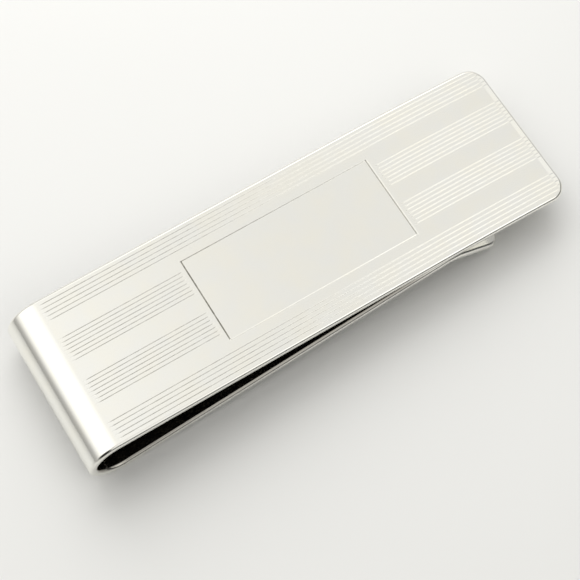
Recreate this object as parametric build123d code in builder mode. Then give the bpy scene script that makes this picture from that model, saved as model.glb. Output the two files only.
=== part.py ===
"""Money clip: one folded strip of silver sheet, split where it flexes.

The strip is drawn in its own side view, with x along the front panel from the
outside of the fold and y square to the panel, 0 on its face.  That side view
is then tilted, so that the clip stands on its fold and on its flared tip, as
it does on a table: +X runs from the fold to the free end and +Z is up.
All sizes are in millimetres.
"""
from build123d import *
from math import asin, atan2, cos, degrees, hypot, radians, sin, sqrt
import os

# Strip
length = 55.6             # outside of the fold to the free end, along the panel
width = 17.15
thickness = 0.9
edge_radius = 0.36        # polished long edges and ends
fold_height = 6.9         # outside height of the fold

# Front panel
bow_start = 39.7          # the panel is flat up to here, then bows down
bow_drop = 0.65           # fall of the bowed stretch at the free end
panel_corner = 1.9

# Rear leg
pinch_place = 41.0        # where the leg comes up to the panel
pinch_radius = 2.5        # centre line of the pinch bend
pinch_gap = 0.1
flare_angle = 29.0        # below the panel's line
tip_place = 47.7          # end of the flared tip, along the panel
tip_corner = 1.6
leg_cut_pitch = 12.0      # spacing of the places where the leg flexes

# Engraving
line_start = 3.9
line_width = 0.10
line_depth = 0.05
outer_line_margin = 0.715 # from the panel's long edge to its nearest line
outer_line_pitch = 0.465
outer_line_count = 5
inner_line_first = 1.16
inner_line_pitch = 0.435
inner_line_count = 7
frame_start = 17.85       # cartouche frame, middle of its grooves
frame_length = 21.6
frame_clearance = 1.2     # from the frame's sides to the nearest outer line
frame_groove_width = 0.16
frame_groove_depth = 0.08
frame_margin = 0.45       # plain metal between the frame and the inner lines

frame_width = 2 * (
    width / 2 - outer_line_margin - (outer_line_count - 1) * outer_line_pitch - frame_clearance
)

# Fold and leg, worked out from the sizes above
fold_radius = fold_height / 2
fold_middle = fold_radius - thickness / 2
fold_centre = Vector(fold_radius, -fold_radius)
pinch_centre = Vector(pinch_place, -1.5 * thickness - pinch_gap - pinch_radius)
span = pinch_centre - fold_centre
leg_rise = degrees(atan2(span.Y, span.X) + asin((pinch_radius + fold_middle) / span.length))
leg_length = sqrt(span.length**2 - (pinch_radius + fold_middle) ** 2)
leg_direction = Vector(1, 0).rotate(Axis.Z, leg_rise)
leg_normal = Vector(0, 1).rotate(Axis.Z, leg_rise)
leg_start = fold_centre - leg_normal * fold_middle
flare_direction = Vector(1, 0).rotate(Axis.Z, -flare_angle)
flare_normal = Vector(0, 1).rotate(Axis.Z, -flare_angle)
flare_start = pinch_centre + flare_normal * pinch_radius
flare_length = (tip_place - flare_start.X) / cos(radians(flare_angle))

# Bowed end of the panel, an arc tangent to its face
bow_run = length - bow_start
bow_radius = (bow_run**2 + bow_drop**2) / (2 * bow_drop)
bow_angle = degrees(asin(bow_run / bow_radius))
bow_centre = Vector(bow_start, -bow_radius)

# Resting attitude: one line touches the fold and the tip's lower edge
tip_edge_centre = (
    flare_start
    + flare_direction * (flare_length - edge_radius)
    - flare_normal * (thickness / 2 - edge_radius)
)
reach = tip_edge_centre - fold_centre
tilt = degrees(atan2(reach.Y, reach.X) - asin((edge_radius - fold_radius) / reach.length))


def resting(point):
    """A side-view point turned to the resting attitude."""
    return point.rotate(Axis.Z, -tilt)


end_direction = Vector(1, 0).rotate(Axis.Z, -bow_angle)
end_normal = Vector(0, 1).rotate(Axis.Z, -bow_angle)
end_edge_centre = bow_centre + end_normal * (bow_radius - edge_radius) - end_direction * edge_radius
low_x = resting(fold_centre).X - fold_radius
high_x = resting(end_edge_centre).X + edge_radius
floor_y = resting(fold_centre).Y - fold_radius
side = Plane(
    origin=(-(low_x + high_x) / 2, 0, -floor_y),
    x_dir=(cos(radians(tilt)), 0, -sin(radians(tilt))),
    z_dir=(0, -1, 0),
)


def square_to(path):
    """The plane square to the start of a path, with its x across the strip."""
    return Plane(origin=path @ 0, x_dir=(0, 1, 0), z_dir=path % 0)


def round_outline(part):
    """Round the two edges that cross the strip at its end, and the edges that run on from them."""
    fillet(part.edges().filter_by(Axis.Y).sort_by(Axis.X)[-2:], edge_radius)


def round_corners(part, corner):
    """Round the end's two corners, seen square to the strip's face."""
    end_face = part.faces().sort_by(Axis.X)[-1]
    fillet(end_face.edges().filter_by(Axis.Y, reverse=True), corner)


def strip_piece(name, centre_line):
    """A stretch of plain strip along a centre line in the side view."""
    path = side.from_local_coords(centre_line)
    with BuildPart() as piece:
        with BuildSketch(square_to(path)):
            RectangleRounded(width, thickness, edge_radius)
        sweep(path=path)
    finish(piece.part, name)


def finish(part, name):
    """Label a finished piece and write it to its own file."""
    part.label = name
    export_step(part, f"parts/{name}.step")


def v_cut(groove_width, groove_depth):
    """A V with its point down, whose top stands just clear of the face."""
    clear = 0.02
    half = groove_width / 2 * (1 + clear / groove_depth)
    with BuildSketch(mode=Mode.PRIVATE) as cut:
        with BuildLine():
            Polyline((-half, clear), (half, clear), (0, -groove_depth), close=True)
        make_face()
    return cut.sketch


def groove_along(start, end, groove_width, groove_depth):
    """A V groove on the panel's face from start to end, on its middle line."""
    with BuildPart(mode=Mode.PRIVATE) as groove:
        with BuildLine(mode=Mode.PRIVATE) as route:
            if start < bow_start:
                Line((start, 0), (min(end, bow_start), 0))
            if end > bow_start:
                first = bow_turn(max(start, bow_start))
                CenterArc(bow_centre, bow_radius, 90 - first, first - bow_turn(end))
        path = side.from_local_coords(route.line)
        with BuildSketch(square_to(path)):
            add(v_cut(groove_width, groove_depth))
        sweep(path=path)
    return groove.part


def bow_turn(place):
    """How far the bowed end has turned at a place along the panel, in degrees."""
    return degrees(asin((place - bow_start) / bow_radius))


outermost_line = width / 2 - outer_line_margin
outer_places = [outermost_line - i * outer_line_pitch for i in range(outer_line_count)]
inner_places = [inner_line_first + i * inner_line_pitch for i in range(inner_line_count)]
frame_end = frame_start + frame_length

os.makedirs("parts", exist_ok=True)

# Front panel: flat with a gentle bow, rounded corners and edges
with BuildPart() as front_panel:
    with BuildSketch(side):
        with BuildLine():
            face_line = Line((fold_radius, 0), (bow_start, 0))
            face_bow = CenterArc(bow_centre, bow_radius, 90, -bow_angle)
            back_bow = CenterArc(bow_centre, bow_radius - thickness, 90, -bow_angle)
            back_line = Line((bow_start, -thickness), (fold_radius, -thickness))
            Line(face_bow @ 1, back_bow @ 1)
            Line(face_line @ 0, back_line @ 1)
        make_face()
    extrude(amount=width / 2, both=True)
    round_corners(front_panel, panel_corner)
    round_outline(front_panel)

    # Engraved lines, in groups on each side of the middle
    full_line = groove_along(line_start, length, line_width, line_depth)
    fold_line = groove_along(line_start, frame_start - frame_margin, line_width, line_depth)
    free_line = groove_along(frame_end + frame_margin, length, line_width, line_depth)
    with Locations([(0, turn * place, 0) for place in outer_places for turn in (-1, 1)]):
        add(full_line, mode=Mode.SUBTRACT)
    with Locations([(0, turn * place, 0) for place in inner_places for turn in (-1, 1)]):
        add(fold_line, mode=Mode.SUBTRACT)
        add(free_line, mode=Mode.SUBTRACT)

    # Cartouche frame
    frame_side = groove_along(frame_start, frame_end, frame_groove_width, frame_groove_depth)
    with Locations((0, -frame_width / 2, 0), (0, frame_width / 2, 0)):
        add(frame_side, mode=Mode.SUBTRACT)
    for place in (frame_start, frame_end):
        frame_end_plane = Plane(
            origin=side.from_local_coords((place, 0, 0)), x_dir=-side.x_dir, z_dir=(0, 1, 0)
        )
        with BuildSketch(frame_end_plane):
            add(v_cut(frame_groove_width, frame_groove_depth))
        extrude(amount=frame_width / 2, both=True, mode=Mode.SUBTRACT)
finish(front_panel.part, "front_panel")

# Fold, in the two quarters above and below its outermost line
strip_piece("fold_upper", CenterArc(fold_centre, fold_middle, 90, 90))
strip_piece("fold_lower", CenterArc(fold_centre, fold_middle, 180, 90 + leg_rise))

# Rear leg: two plain stretches, the stretch that reaches the pinch, and the pinch bend
cuts = [leg_start + leg_direction * leg_cut_pitch * i for i in range(3)]
cuts.append(leg_start + leg_direction * leg_length)
for name, start, end in zip(("rear_leg_root", "rear_leg_middle", "rear_leg_front"), cuts, cuts[1:]):
    strip_piece(name, Line(start, end))
pinch_turn = leg_rise + flare_angle
strip_piece("pinch_bend", CenterArc(pinch_centre, pinch_radius, 90 + leg_rise, -pinch_turn))

# Flared tip
with BuildPart() as flared_tip:
    with BuildSketch(side):
        with BuildLine():
            Polyline(
                flare_start + flare_normal * thickness / 2,
                flare_start + flare_normal * thickness / 2 + flare_direction * flare_length,
                flare_start - flare_normal * thickness / 2 + flare_direction * flare_length,
                flare_start - flare_normal * thickness / 2,
                close=True,
            )
        make_face()
    extrude(amount=width / 2, both=True)
    round_corners(flared_tip, tip_corner)
    round_outline(flared_tip)
finish(flared_tip.part, "flared_tip")
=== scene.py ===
"""Money clip: the polished and engraved silver strip, its table and its studio light.

The strip is drawn in its side view, as complex numbers in millimetres: the real
part runs along the front panel from the outside of the fold, and the imaginary
part is square to it, 0 on the panel's face.  That view is then tilted, so that
the clip rests on its fold and on its flared tip.
"""

import cmath
import math

import bmesh
import bpy
import numpy as np
from mathutils import Matrix, Vector


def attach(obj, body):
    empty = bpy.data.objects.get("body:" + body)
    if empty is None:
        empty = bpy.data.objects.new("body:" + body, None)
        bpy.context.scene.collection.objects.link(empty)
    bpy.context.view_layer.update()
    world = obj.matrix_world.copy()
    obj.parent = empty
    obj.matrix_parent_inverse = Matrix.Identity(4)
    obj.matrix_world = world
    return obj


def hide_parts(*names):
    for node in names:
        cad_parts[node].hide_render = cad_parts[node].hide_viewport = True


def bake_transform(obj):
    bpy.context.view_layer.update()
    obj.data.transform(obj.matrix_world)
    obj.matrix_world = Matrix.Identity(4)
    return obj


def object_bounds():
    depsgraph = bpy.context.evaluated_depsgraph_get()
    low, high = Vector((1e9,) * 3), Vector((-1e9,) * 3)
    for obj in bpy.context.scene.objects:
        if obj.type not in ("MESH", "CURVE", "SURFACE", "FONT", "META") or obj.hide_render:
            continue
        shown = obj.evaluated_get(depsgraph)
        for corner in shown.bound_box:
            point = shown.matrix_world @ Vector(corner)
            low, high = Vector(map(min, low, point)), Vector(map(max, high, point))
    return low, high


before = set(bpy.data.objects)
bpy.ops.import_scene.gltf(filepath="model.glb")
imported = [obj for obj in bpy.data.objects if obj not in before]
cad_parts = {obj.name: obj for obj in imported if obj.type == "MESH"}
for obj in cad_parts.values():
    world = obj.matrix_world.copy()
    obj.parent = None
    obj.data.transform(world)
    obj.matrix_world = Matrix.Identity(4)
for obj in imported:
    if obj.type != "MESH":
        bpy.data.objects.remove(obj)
cad_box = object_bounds()

MM = 0.001

# Strip
length = 55.6
width = 17.15
thickness = 0.9
edge_radius = 0.36
fold_height = 6.9         # outside height of the fold

# Front panel
bow_start = 39.7          # the panel is flat up to here, then bows down
bow_drop = 0.65           # fall of the bowed stretch at the free end
panel_corner = 1.9
end_bevel = 0.45          # width of the soft bevel at the free end
end_bevel_drop = 0.05

# Rear leg
pinch_place = 41.0        # where the leg comes up to the panel
pinch_radius = 2.5
pinch_gap = 0.1
flare_angle = math.radians(29.0)
tip_place = 47.7          # end of the flared tip, along the panel
tip_corner = 1.6
leg_cut_pitch = 12.0      # spacing of the places where the leg is cut

# Engraved lines
line_start = 3.6
line_taper = 0.7          # run over which a line reaches its full depth
line_wander = 0.12        # how much the lines' starts and stops differ
line_width = 0.10
line_depth = 0.05
line_lightening = 0.3     # share of the depth lost from the frame's start to its end
line_fade = 0.35          # run over which an inner line fades out before the frame
line_restart = 0.06       # run over which it starts again beyond the frame
pit_start = 0.08          # beyond the restart, the inner lines begin with a small pit
pit_end = 0.3
pit_extra = 0.9           # the pit's extra depth, as a share of the line's
outer_line_margin = 0.715 # from the panel's long edge to its nearest line
outer_line_pitch = 0.465
outer_line_count = 5
inner_line_first = 1.16
inner_line_pitch = 0.435
inner_line_count = 7
outer_line_first = width / 2 - outer_line_margin - (outer_line_count - 1) * outer_line_pitch

# Engraved frame of the cartouche
frame_start = 17.85
frame_length = 21.6
frame_clearance = 1.2     # from the frame's sides to the nearest outer line
frame_end_groove = 0.19
frame_side_groove = 0.13
frame_depth = 0.11
frame_side_depth = 0.07
frame_lean = 0.15         # how far the end grooves' bottoms lie inwards, as a share of half their width
frame_near_lean = 0.5     # how far the near groove's bottom lies outwards, as a share of half its width
frame_margin = 0.45       # plain metal between the frame and the inner lines
frame_overshoot = 0.07    # how far the grooves run past the frame's corners
frame_width = 2 * (outer_line_first - frame_clearance)
frame_end = frame_start + frame_length

# Fold and leg, worked out from the sizes above
fold_radius = fold_height / 2
fold_middle = fold_radius - thickness / 2
fold_centre = complex(fold_radius, -fold_radius)
pinch_centre = complex(pinch_place, -1.5 * thickness - pinch_gap - pinch_radius)
span = pinch_centre - fold_centre
leg_rise = cmath.phase(span) + math.asin((pinch_radius + fold_middle) / abs(span))
leg_length = math.sqrt(abs(span) ** 2 - (pinch_radius + fold_middle) ** 2)
pinch_turn = leg_rise + flare_angle
flare_direction = cmath.exp(-1j * flare_angle)
flare_start = pinch_centre + 1j * flare_direction * pinch_radius
flare_length = (tip_place - flare_start.real) / math.cos(flare_angle)

# Bowed end of the panel, an arc tangent to its face
bow_run = length - bow_start
bow_radius = (bow_run**2 + bow_drop**2) / (2 * bow_drop)
panel_end = bow_start + bow_radius * math.asin(bow_run / bow_radius)

# Resting attitude: one line touches the fold and the tip's lower edge
tip_edge = flare_start + flare_direction * complex(
    flare_length - edge_radius, edge_radius - thickness / 2
)
reach = tip_edge - fold_centre
tilt = cmath.phase(reach) - math.asin((edge_radius - fold_radius) / abs(reach))
resting_fold = fold_centre * cmath.exp(-1j * tilt)
origin = complex(
    cad_box[0].x / MM - (resting_fold.real - fold_radius),
    cad_box[0].z / MM - (resting_fold.imag - fold_radius),
)

# Stretches of the strip, as distances along its middle line from just before the fold
fold_lead = 0.15          # flat metal that belongs to the fold piece
fold_arc = fold_middle * (math.pi + leg_rise)
pinch_arc = pinch_radius * pinch_turn
rear_runs = [
    (fold_lead, 0.0),
    (fold_arc, math.pi + leg_rise),
    (leg_length, 0.0),
    (pinch_arc, -pinch_turn),
    (flare_length, 0.0),
]
leg_begin = fold_lead + fold_arc
leg_end = leg_begin + leg_length
tip_end = leg_end + pinch_arc + flare_length

# Mesh fineness
edge_steps = 8            # facets in a quarter of a rounded edge
edge_support = 0.03       # flat margin kept beside a rounded edge
groove_support = 0.012    # flat margin kept beside a groove
corner_steps = 14
corner_shares = (0.2, 0.4, 0.6, 0.69, 0.725, 0.8, 0.92, 0.985, 1.0)  # rows in a rounded end
closest_places = 0.004
seam_lip = 0.12           # finer rows where a piece meets its neighbour
seam_step = 0.02


def world_points(side, y):
    """Side-view points and distances across the strip, as points in metres at rest."""
    turned = origin + side * cmath.exp(-1j * tilt)
    return np.stack([turned.real, y, turned.imag], axis=-1) * MM


def walk(distance, start, heading, runs):
    """Points and headings along straight runs and arcs, each given as (length, turn)."""
    point = start + 0j * distance
    angle = heading + 0 * distance
    begun = 0.0
    for run, turn in runs:
        along = np.clip(distance - begun, 0, run)
        unit = cmath.exp(1j * heading)
        bend = turn / run
        if turn:
            point = point + unit * (np.exp(1j * bend * along) - 1) / (1j * bend)
        else:
            point = point + unit * along
        angle = angle + bend * along
        heading += turn
        begun += run
    return point, angle


def panel_side(distance, depth):
    """Side-view points on the front panel, at a distance along its face and a depth below it."""
    turn = np.maximum(distance - bow_start, 0) / bow_radius
    bevel_end = panel_end - edge_radius
    bevel = end_bevel_drop * np.clip((distance - bevel_end + end_bevel) / end_bevel, 0, 1)
    depth = depth + bevel * (1 - depth / thickness)
    below = (bow_radius - depth) * 1j * np.exp(-1j * turn)
    return np.minimum(distance, bow_start) - 1j * bow_radius + below


def rear_side(distance, depth):
    """Side-view points on the fold and leg, at a distance along them and a depth below the outside."""
    start = complex(fold_radius + fold_lead, -thickness / 2)
    middle, heading = walk(distance, start, math.pi, rear_runs)
    return middle - 1j * np.exp(1j * heading) * (thickness / 2 - depth)


def smooth(value, low, high):
    """0 below low, 1 above high and a smooth step between them."""
    share = np.clip((value - low) / (high - low), 0, 1)
    return share * share * (3 - 2 * share)


def v_groove(offset, groove_width, depth, lean=0.0):
    """Depth of a V groove at an offset from its middle; lean moves its bottom to one side."""
    half = groove_width / 2
    bottom = lean * half
    left = (offset + half) / (bottom + half)
    right = (half - offset) / (half - bottom)
    return depth * np.maximum(0, np.minimum(left, right))


outer_lines = [outer_line_first + i * outer_line_pitch for i in range(outer_line_count)]
inner_lines = [inner_line_first + i * inner_line_pitch for i in range(inner_line_count)]


def engraving(x, y):
    """Depth of the engraving below the panel's face."""
    depth = np.zeros(np.broadcast(x, y).shape)
    for number, place in enumerate(outer_lines + inner_lines):
        inner = place in inner_lines
        for turn in (-1, 1):
            wander = line_wander * math.sin(7.3 * number + 2.1 * turn)
            strength = smooth(x, line_start + wander, line_start + wander + line_taper)
            if inner:
                left_stop = frame_start - frame_margin + wander * 0.5
                right_stop = frame_end + frame_margin + wander * 0.4
                left = 1 - smooth(x, left_stop - line_fade, left_stop)
                right = smooth(x, right_stop, right_stop + line_restart)
                pit = pit_extra * (1 - smooth(x, right_stop + pit_start, right_stop + pit_end))
                strength = strength * (left + right * (1 + pit))
            groove = v_groove(y - turn * place, line_width, line_depth)
            lighter = 1 - line_lightening * smooth(x, frame_start, frame_end)
            depth = np.maximum(depth, groove * strength * lighter)
    half = frame_width / 2
    over = frame_overshoot
    along = smooth(x, frame_start - over, frame_start) * (1 - smooth(x, frame_end, frame_end + over))
    across = 1 - smooth(np.abs(y), half, half + over)
    near_side = v_groove(-half - y, frame_side_groove, frame_side_depth, frame_near_lean)
    sides = near_side + v_groove(y - half, frame_side_groove, frame_side_depth)
    ends = v_groove(x - frame_start, frame_end_groove, frame_depth, frame_lean)
    ends = ends + v_groove(x - frame_end, frame_end_groove, frame_depth, -frame_lean)
    return np.maximum(depth, np.maximum(sides * along, ends * across))


def groove_samples(place, groove_width, lean=0.0):
    """Sample places across a groove: its flat margins, its lips, its walls and its bottom."""
    half = groove_width / 2
    bottom = lean * half
    walls = ((bottom - half) / 2, bottom, (bottom + half) / 2)
    offsets = (-half - groove_support, -half, *walls, half, half + groove_support)
    return [place + offset for offset in offsets]


def spaced(start, end, step):
    """Places from start to end, evenly spaced at about step."""
    return list(np.linspace(start, end, max(2, round((end - start) / step) + 1)))


def sorted_places(places):
    """Places in rising order, without any that nearly repeat."""
    kept = []
    for place in sorted(places):
        if not kept or place - kept[-1] > closest_places:
            kept.append(place)
    return np.array(kept)


def corner_columns(corner):
    """Distances from the middle line that follow a rounded corner evenly."""
    inner = corner - edge_radius
    turns = np.linspace(0, math.pi / 2, corner_steps + 1)
    return [width / 2 - corner + inner * math.sin(turn) for turn in turns]


def mirrored(places):
    """The places and their mirror images across the middle line."""
    return [*places, *(-place for place in places)]


def edge_profile():
    """Steps over a rounded edge, as (outward from the face's rim, depth below the face)."""
    turns = [math.pi / 2 * step / edge_steps for step in range(edge_steps + 1)]
    upper = [(edge_radius * math.sin(t), edge_radius * (1 - math.cos(t))) for t in turns[1:]]
    lower = [(outward, thickness - depth) for outward, depth in reversed(upper)]
    return upper + lower


def sheet_grid(rows, columns, end, corner):
    """The face's grid of (distance, across); with a corner it runs on to a rounded end."""
    across = np.broadcast_to(columns, (len(rows), len(columns)))
    along = np.broadcast_to(rows[:, None], across.shape)
    if corner:
        inner = corner - edge_radius
        beyond = np.clip(np.abs(columns) - (width / 2 - corner), 0, inner)
        reach_out = np.sqrt(np.maximum(inner**2 - beyond**2, 0))
        shares = np.array(corner_shares)
        along = np.vstack([along, end - corner + shares[:, None] * reach_out])
        across = np.vstack([across, np.broadcast_to(columns, (len(shares), len(columns)))])
    return along, across


def sheet_rims(along, across, straight_rows, corner):
    """The face's rim as runs of (row, column, outward along, outward across)."""
    last = across.shape[1] - 1
    low_side = [(row, 0, 0.0, -1.0) for row in range(straight_rows)]
    high_side = [(row, last, 0.0, 1.0) for row in reversed(range(straight_rows))]
    if not corner:
        return [low_side, high_side]
    inner = corner - edge_radius
    end_row = along.shape[0] - 1
    outline = []
    for column in range(1, last):
        y = across[end_row, column]
        beyond = max(abs(y) - (width / 2 - corner), 0) / inner
        turn = math.asin(min(beyond, 1.0))
        outline.append((end_row, column, math.cos(turn), math.copysign(math.sin(turn), y)))
    return [low_side + outline + high_side]


def sheet_piece(name, side, rows, columns, cut=None, end=0.0, corner=0.0):
    """A closed stretch of the strip with rounded edges, engraved where cut gives a depth."""
    along, across = sheet_grid(rows, columns, end, corner)
    count_rows, count_columns = along.shape
    face_count = along.size
    profile = edge_profile()
    places = [(along.ravel(), across.ravel(), np.zeros(face_count))]
    places.append((along.ravel(), across.ravel(), np.full(face_count, thickness)))
    top = np.arange(face_count).reshape(along.shape)
    back = top + face_count
    faces = []
    for row in range(count_rows - 1):
        for column in range(count_columns - 1):
            for grid in (top, back):
                corners = grid[row : row + 2, column : column + 2]
                faces.append((corners[0, 0], corners[1, 0], corners[1, 1], corners[0, 1]))
    used = 2 * face_count
    caps = {0: [], count_rows - 1: []}
    for rim in sheet_rims(along, across, len(rows), corner):
        rim_rows = [point[0] for point in rim]
        rim_columns = [point[1] for point in rim]
        rim_along = along[rim_rows, rim_columns]
        rim_across = across[rim_rows, rim_columns]
        out_along = np.array([point[2] for point in rim])
        out_across = np.array([point[3] for point in rim])
        rings = [top[rim_rows, rim_columns]]
        for outward, depth in profile[:-1]:
            spot = (rim_along + outward * out_along, rim_across + outward * out_across)
            places.append((*spot, np.full(len(rim), depth)))
            rings.append(np.arange(used, used + len(rim)))
            used += len(rim)
        rings.append(back[rim_rows, rim_columns])
        for upper, lower in zip(rings, rings[1:]):
            for step in range(len(rim) - 1):
                faces.append((upper[step], upper[step + 1], lower[step + 1], lower[step]))
        for tip in (0, -1):
            if rim_rows[tip] in caps:
                caps[rim_rows[tip]].append([ring[tip] for ring in rings])
    smooth_faces = len(faces)
    for row, loops in caps.items():
        if loops:
            for column in range(count_columns - 1):
                pair = top[row, column : column + 2]
                other = back[row, column : column + 2]
                faces.append((pair[0], pair[1], other[1], other[0]))
            faces.extend(loops)
    distance, y, depth = (np.concatenate(part) for part in zip(*places))
    worked = cut(distance, y) if cut else np.zeros(len(distance))
    worked = np.where(depth < thickness / 2, worked, 0)
    points = world_points(side(distance, np.maximum(depth, worked)), y)
    return finish_mesh(name, points, faces, smooth_faces, distance, y, depth, worked)


def finish_mesh(name, points, faces, smooth_faces, distance, y, depth, worked):
    """A smooth-shaded object from the points and faces, with its surface places as attributes."""
    mesh = bpy.data.meshes.new(name)
    mesh.from_pydata(points.tolist(), [], [[int(i) for i in face] for face in faces])
    back_shift = np.where(depth > thickness / 2, 2 * width, 0)
    surface = np.stack([distance, y + back_shift, depth], axis=-1)
    place = mesh.attributes.new("surface_place", "FLOAT_VECTOR", "POINT")
    place.data.foreach_set("vector", surface.astype(np.float32).ravel())
    engraved = mesh.attributes.new("engraved", "FLOAT", "POINT")
    engraved.data.foreach_set("value", (worked / line_depth).astype(np.float32))
    bm = bmesh.new()
    bm.from_mesh(mesh)
    bm.faces.ensure_lookup_table()
    for face in bm.faces:
        face.smooth = True
    for face in bm.faces[smooth_faces:]:
        for edge in face.edges:
            edge.smooth = False
    bmesh.ops.remove_doubles(bm, verts=bm.verts, dist=1e-7)
    bmesh.ops.recalc_face_normals(bm, faces=bm.faces)
    bm.to_mesh(mesh)
    bm.free()
    piece = bpy.data.objects.new(name, mesh)
    bpy.context.scene.collection.objects.link(piece)
    return piece


def rear_point(distance):
    """A point on the rear strip's middle line, in metres at rest."""
    side = rear_side(np.array([distance]), thickness / 2)
    return Vector(world_points(side, np.zeros(1))[0])


def engraved_panel():
    """The front panel with its engraved lines and cartouche frame."""
    columns = mirrored(corner_columns(panel_corner))
    for place in outer_lines + inner_lines:
        columns += mirrored(groove_samples(place, line_width))
    columns += groove_samples(frame_width / 2, frame_side_groove)
    columns += groove_samples(-frame_width / 2, frame_side_groove, -frame_near_lean)
    columns += mirrored([width / 2 - edge_radius - edge_support])
    frame_corner = [frame_width / 2 + frame_overshoot * share for share in (0.3, 0.6, 1.0)]
    columns += mirrored(frame_corner) + [0.0]
    panel_begin = fold_radius + fold_lead
    tapers_end = line_start + 1.7
    fades_begin = frame_start - frame_margin - 0.6
    pits_done = frame_end + frame_margin + 0.5
    beside_groove = 0.3
    stretches = [
        (panel_begin, tapers_end, 0.1),
        (tapers_end, fades_begin, 1.5),
        (fades_begin, frame_start - beside_groove, 0.07),
        (frame_start + beside_groove, frame_end - beside_groove, 1.5),
        (frame_end + beside_groove, pits_done, 0.05),
        (pits_done, panel_end - panel_corner, 0.5),
    ]
    rows = []
    for begin, stop, step in stretches:
        rows += spaced(begin, stop, step)
    for place, out in ((frame_start, -1), (frame_end, 1)):
        rows += groove_samples(place, frame_end_groove, -out * frame_lean)
        rows += [place + out * frame_overshoot * share for share in (0.3, 0.6, 1.0, 1.3)]
    return sheet_piece(
        "engraved_panel",
        panel_side,
        sorted_places(rows),
        sorted_places(columns),
        cut=engraving,
        end=panel_end,
        corner=panel_corner,
    )


def rear_strip(name, start, end, step):
    """A plain stretch of the fold or leg, with finer rows where it meets its neighbours."""
    rim = width / 2 - edge_radius
    columns = mirrored([rim, rim - edge_support]) + spaced(-8.0, 8.0, 2.0)
    rows = spaced(start, start + seam_lip, seam_step) + spaced(end - seam_lip, end, seam_step)
    rows += spaced(start + seam_lip, end - seam_lip, step)
    return sheet_piece(name, rear_side, sorted_places(rows), sorted_places(columns))


def pinch_and_tip(start):
    """The end of the leg, the pinch bend and the flared tip with its rounded corners."""
    columns = mirrored(corner_columns(tip_corner))
    columns += mirrored([width / 2 - edge_radius - edge_support]) + spaced(-6.0, 6.0, 2.0)
    rows = spaced(start, start + seam_lip, seam_step) + spaced(start + seam_lip, leg_end, 1.0)
    rows += spaced(leg_end, leg_end + pinch_arc, 0.12)
    rows += spaced(leg_end + pinch_arc, tip_end - tip_corner, 0.6)
    return sheet_piece(
        "pinch_and_tip",
        rear_side,
        sorted_places(rows),
        sorted_places(columns),
        end=tip_end,
        corner=tip_corner,
    )


class Nodes:
    """Short calls for building one node tree."""

    def __init__(self, tree):
        self.tree = tree
        tree.nodes.clear()

    def add(self, kind, **settings):
        """A node of a kind, with its properties set."""
        node = self.tree.nodes.new(kind)
        for key, value in settings.items():
            setattr(node, key, value)
        return node

    def link(self, source, target):
        self.tree.links.new(source, target)

    def math(self, operation, *values):
        """The output of a Math node whose inputs are sockets or numbers."""
        node = self.add("ShaderNodeMath", operation=operation)
        for socket, value in zip(node.inputs, values):
            self.feed(socket, value)
        return node.outputs[0]

    def feed(self, socket, value):
        """Link a socket, or set a plain value."""
        if isinstance(value, bpy.types.NodeSocket):
            self.link(value, socket)
        else:
            socket.default_value = value

    def noise(self, vector, scale, detail=2.0, roughness=0.5):
        """The factor of a Noise Texture."""
        node = self.add("ShaderNodeTexNoise")
        self.link(vector, node.inputs["Vector"])
        node.inputs["Scale"].default_value = scale
        node.inputs["Detail"].default_value = detail
        node.inputs["Roughness"].default_value = roughness
        return node.outputs[0]

    def stretched(self, vector, scale):
        """The vector with its axes scaled, for grain with a direction."""
        node = self.add("ShaderNodeMapping")
        self.link(vector, node.inputs["Vector"])
        node.inputs["Scale"].default_value = scale
        return node.outputs[0]

    def split(self, vector):
        """The three components of a vector."""
        node = self.add("ShaderNodeSeparateXYZ")
        self.link(vector, node.inputs[0])
        return node.outputs

    def range(self, value, low, high, to_low, to_high, curve="LINEAR"):
        """A value mapped from one range to another."""
        node = self.add("ShaderNodeMapRange", interpolation_type=curve)
        inputs = (value, low, high, to_low, to_high)
        for socket, item in zip(node.inputs, inputs):
            self.feed(socket, item)
        return node.outputs[0]

    def mix(self, factor, first, second):
        """The colour between two colours."""
        node = self.add("ShaderNodeMix", data_type="RGBA")
        for name, value in (("Factor_Float", factor), ("A_Color", first), ("B_Color", second)):
            socket = next(s for s in node.inputs if s.identifier == name)
            self.feed(socket, value)
        return next(s for s in node.outputs if s.identifier == "Result_Color")


def patina_and_groove_shade(build, place, along, across):
    """How dark the engraving is: patina in the grooves plus painted shade, most in the frame's end
    grooves and pits, and more near the fold.
    """
    depth = build.add("ShaderNodeAttribute", attribute_name="engraved").outputs["Fac"]
    patches = build.noise(build.stretched(place, (1.2, 3.0, 1.0)), 1.0, detail=2.0)
    patches = build.range(patches, 0.2, 0.6, 0.4, 1.0)
    amount = build.math("MULTIPLY", build.range(depth, 0.05, 0.8, 0, 1), patches)
    # Painted shade: the engraving is darker near the fold and lighter towards the free end.
    less_towards_end = build.range(along, frame_start, frame_end + 4, 0.8, 0.15)
    amount = build.math("MULTIPLY", amount, less_towards_end)
    # Painted shade in the deepest cuts: the frame's end grooves and the pits.
    amount = build.math("ADD", amount, build.range(depth, 1.5, 1.9, 0.0, 0.8))
    amount = build.math("MINIMUM", amount, 1.0)
    near_groove = build.math("COMPARE", across, -frame_width / 2, frame_side_groove)
    return build.math("MULTIPLY", amount, build.range(near_groove, 0, 1, 1.0, 0.1))


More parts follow.
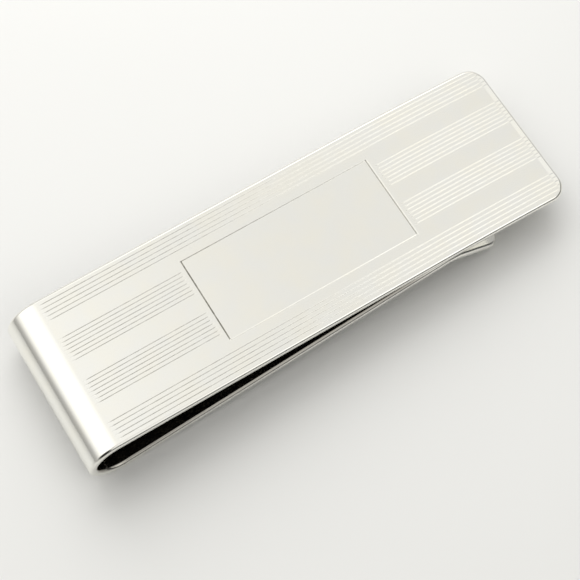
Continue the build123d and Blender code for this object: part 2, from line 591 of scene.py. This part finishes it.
def silver(name, engraved):
    """Polished silver: faint hairlines, soft cloudiness, painted shade on the inner faces that look
    into the gap, and patina with painted shade in the engraving.
    """
    material = bpy.data.materials.new(name)
    material.use_nodes = True
    build = Nodes(material.node_tree)
    output = build.add("ShaderNodeOutputMaterial")
    shader = build.add("ShaderNodeBsdfPrincipled")
    build.link(shader.outputs[0], output.inputs["Surface"])
    shader.inputs["Metallic"].default_value = 1.0
    place = build.add("ShaderNodeAttribute", attribute_name="surface_place").outputs["Vector"]
    along, across, below = build.split(place)
    clouds = build.noise(place, 0.35, detail=3.0)
    hairlines = build.noise(build.stretched(place, (0.5, 14.0, 14.0)), 1.0, detail=4.0)
    cross_lines = build.noise(build.stretched(place, (11.0, 0.8, 11.0)), 1.0, detail=3.0)
    grain = build.math("ADD", hairlines, build.math("MULTIPLY", cross_lines, 0.5))

    warm = (0.93, 0.915, 0.85, 1)
    cool = (0.915, 0.91, 0.87, 1)
    gap_shade_colour = (0.46, 0.44, 0.40, 1)
    dark = (0.30, 0.29, 0.26, 1)
    colour = build.mix(build.range(clouds, 0.35, 0.65, 0, 1), warm, cool)
    roughness = build.range(grain, 0.5, 1.0, 0.10, 0.17)
    # Painted shade: the inner faces that look into the gap between panel and leg get a darker colour,
    # fading out over the last 4 mm before the pinch.
    gap_shade = build.range(below, 0.75 * thickness, 0.95 * thickness, 0, 1)
    gap_shade = build.math("MULTIPLY", gap_shade, build.range(along, leg_end - 4, leg_end, 1, 0))
    colour = build.mix(gap_shade, colour, gap_shade_colour)
    if engraved:
        amount = patina_and_groove_shade(build, place, along, across)
        colour = build.mix(amount, colour, dark)
        roughness = build.math("ADD", roughness, build.math("MULTIPLY", amount, 0.25))
    build.link(colour, shader.inputs["Base Color"])
    build.link(roughness, shader.inputs["Roughness"])
    bump = build.add("ShaderNodeBump")
    bump.inputs["Strength"].default_value = 0.12
    bump.inputs["Distance"].default_value = 0.002 * MM
    build.link(grain, bump.inputs["Height"])
    build.link(bump.outputs[0], shader.inputs["Normal"])
    return material


def table_top():
    """The pale, slightly glossy table."""
    size = 1.6
    mesh = bpy.data.meshes.new("table_top")
    bm = bmesh.new()
    bmesh.ops.create_grid(bm, x_segments=4, y_segments=4, size=size)
    bm.to_mesh(mesh)
    bm.free()
    table = bpy.data.objects.new("table_top", mesh)
    bpy.context.scene.collection.objects.link(table)
    material = bpy.data.materials.new("pale_table")
    material.use_nodes = True
    build = Nodes(material.node_tree)
    output = build.add("ShaderNodeOutputMaterial")
    shader = build.add("ShaderNodeBsdfPrincipled")
    build.link(shader.outputs[0], output.inputs["Surface"])
    place = build.add("ShaderNodeTexCoord").outputs["Object"]
    clouds = build.noise(place, 9.0, detail=2.0)
    colour = build.mix(clouds, (0.735, 0.735, 0.72, 1), (0.765, 0.765, 0.752, 1))
    build.link(colour, shader.inputs["Base Color"])
    shader.inputs["Roughness"].default_value = 0.22
    mesh.materials.append(material)


def direction(azimuth, elevation):
    """The unit vector towards a place in the studio; azimuth 0 is +X and 90 is +Y."""
    a, e = math.radians(azimuth), math.radians(elevation)
    return Vector((math.cos(a) * math.cos(e), math.sin(a) * math.cos(e), math.sin(e)))


def grey(level):
    """A very slightly warm grey."""
    return (level, level * 0.992, level * 0.965, 1)


# The tent's own lights and openings: azimuth, elevation, half angle, softness, level.
# A later one covers an earlier one where they overlap.
tent_lights = [
    (146, 54, 16, 29, 1.3),        # bright wall beyond the fold
    (-55, 45, 14, 8, 1.4),         # bright wall at the near right
    (20, 36, 8, 7, 0.98),          # bright wall beyond the free end
    (222, 33, 24, 5, 0.025),       # the tent's way in, at the near left
    (62, 40, 15, 6, 1.5),          # bright panel beyond the far edge
    (-118, 69, 4.5, 1.5, 0.04),    # the lens's opening
]


def studio():
    """The light tent round the table: soft walls above, a dim room below their hem.

    The room is dark at the near side, light at the far side and graded behind the fold.
    """
    world = bpy.data.worlds.new("light_tent")
    bpy.context.scene.world = world
    world.use_nodes = True
    build = Nodes(world.node_tree)
    output = build.add("ShaderNodeOutputWorld")
    background = build.add("ShaderNodeBackground")
    build.link(background.outputs[0], output.inputs["Surface"])
    towards = build.add("ShaderNodeTexCoord").outputs["Generated"]
    across, along, height = build.split(towards)

    def grade(value, low, high):
        return build.range(value, low, high, 0, 1, "SMOOTHSTEP")

    room = build.mix(grade(along, -0.3, 0.75), grey(0.06), grey(0.75))
    behind_fold = build.mix(grade(height, -0.1, 0.5), grey(0.33), grey(0.66))
    room = build.mix(grade(build.math("MULTIPLY", across, -1.0), 0.5, 0.9), room, behind_fold)
    walls = build.mix(grade(height, 0.2, 0.85), grey(0.62), grey(0.86))
    colour = build.mix(grade(height, 0.28, 0.48), room, walls)
    for azimuth, elevation, half, soft, level in tent_lights:
        product = build.add("ShaderNodeVectorMath", operation="DOT_PRODUCT")
        build.link(towards, product.inputs[0])
        product.inputs[1].default_value = direction(azimuth, elevation)
        outer = math.cos(math.radians(half + soft))
        inner = math.cos(math.radians(max(half - soft, 0)))
        colour = build.mix(grade(product.outputs["Value"], outer, inner), colour, grey(level))
    build.link(colour, background.inputs["Color"])


def soft_box(name, towards, distance, size, power, target):
    """A square area light that faces a place; the silver mirrors the tent's walls, not this light."""
    light = bpy.data.lights.new(name, "AREA")
    light.size = size
    light.energy = power
    lamp = bpy.data.objects.new(name, light)
    bpy.context.scene.collection.objects.link(lamp)
    lamp.location = target + towards * distance
    lamp.visible_glossy = False
    lamp.rotation_mode = "QUATERNION"
    lamp.rotation_quaternion = (-towards).to_track_quat("-Z", "Y")
    return lamp


def camera():
    """The camera above the near side, turned a little towards the fold."""
    data = bpy.data.cameras.new("camera")
    data.lens = 93.32
    data.sensor_width = 36.0
    data.clip_start = 0.005
    data.clip_end = 20.0
    eye = bpy.data.objects.new("camera", data)
    bpy.context.scene.collection.objects.link(eye)
    azimuth, elevation, roll = (math.radians(angle) for angle in (-28.568, 69.214, -3.151))
    target = Vector((-1.682, -2.348, 3.0)) * MM
    distance = 150.3 * MM
    back = Vector(
        (
            math.sin(azimuth) * math.cos(elevation),
            -math.cos(azimuth) * math.cos(elevation),
            math.sin(elevation),
        )
    )
    right = Vector((0, 0, 1)).cross(back).normalized()
    up = back.cross(right)
    turned_right = right * math.cos(roll) + up * math.sin(roll)
    turned_up = up * math.cos(roll) - right * math.sin(roll)
    axes = Matrix((turned_right, turned_up, back)).transposed()
    eye.matrix_world = Matrix.Translation(target + back * distance) @ axes.to_4x4()
    bpy.context.scene.camera = eye


camera()
studio()
table_top()
soft_box(
    "window",
    direction(74, 42),
    distance=0.2,
    size=0.2,
    power=0.25,
    target=Vector((0, 0, 0)),
)
bpy.context.scene.view_settings.view_transform = "Standard"

panel_silver = silver("engraved_silver", engraved=True)
plain_silver = silver("polished_silver", engraved=False)

# Where the rear strip is cut into pieces
fold_cut = leg_begin - fold_middle * math.radians(36)
root_cut = leg_begin + leg_cut_pitch / 2
middle_cut = root_cut + leg_cut_pitch
front_cut = middle_cut + leg_cut_pitch

panel = engraved_panel()
panel.data.materials.append(panel_silver)
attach(panel, "front")
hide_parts("front_panel")

fold = rear_strip("fold_bend", 0.0, fold_cut, 0.12)
fold_from = fold_lead + fold_middle * math.radians(40)
fold_to = fold_lead + fold_middle * math.radians(130)
rear_point(fold_from)
rear_point(fold_to)
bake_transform(fold)
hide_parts("fold_upper", "fold_lower")

half_flex = leg_cut_pitch / 4
root = rear_strip("leg_root_strip", fold_cut, root_cut, 0.15)
root_from = rear_point(leg_begin - fold_middle * math.radians(26))
rear_point(leg_begin + half_flex)
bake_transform(root)
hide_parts("rear_leg_root")

hinge = leg_begin + leg_cut_pitch
middle = rear_strip("leg_middle_strip", root_cut, middle_cut, 0.5)
rear_point(hinge - half_flex)
rear_point(hinge + half_flex)
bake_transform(middle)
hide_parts("rear_leg_middle")

hinge += leg_cut_pitch
front = rear_strip("leg_front_strip", middle_cut, front_cut, 0.5)
rear_point(hinge - half_flex)
rear_point(hinge + half_flex)
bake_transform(front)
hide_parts("rear_leg_front")

tip = pinch_and_tip(front_cut)
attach(tip, "leg_front")
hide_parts("pinch_bend", "flared_tip")

for piece in (fold, root, middle, front, tip):
    piece.data.materials.append(plain_silver)
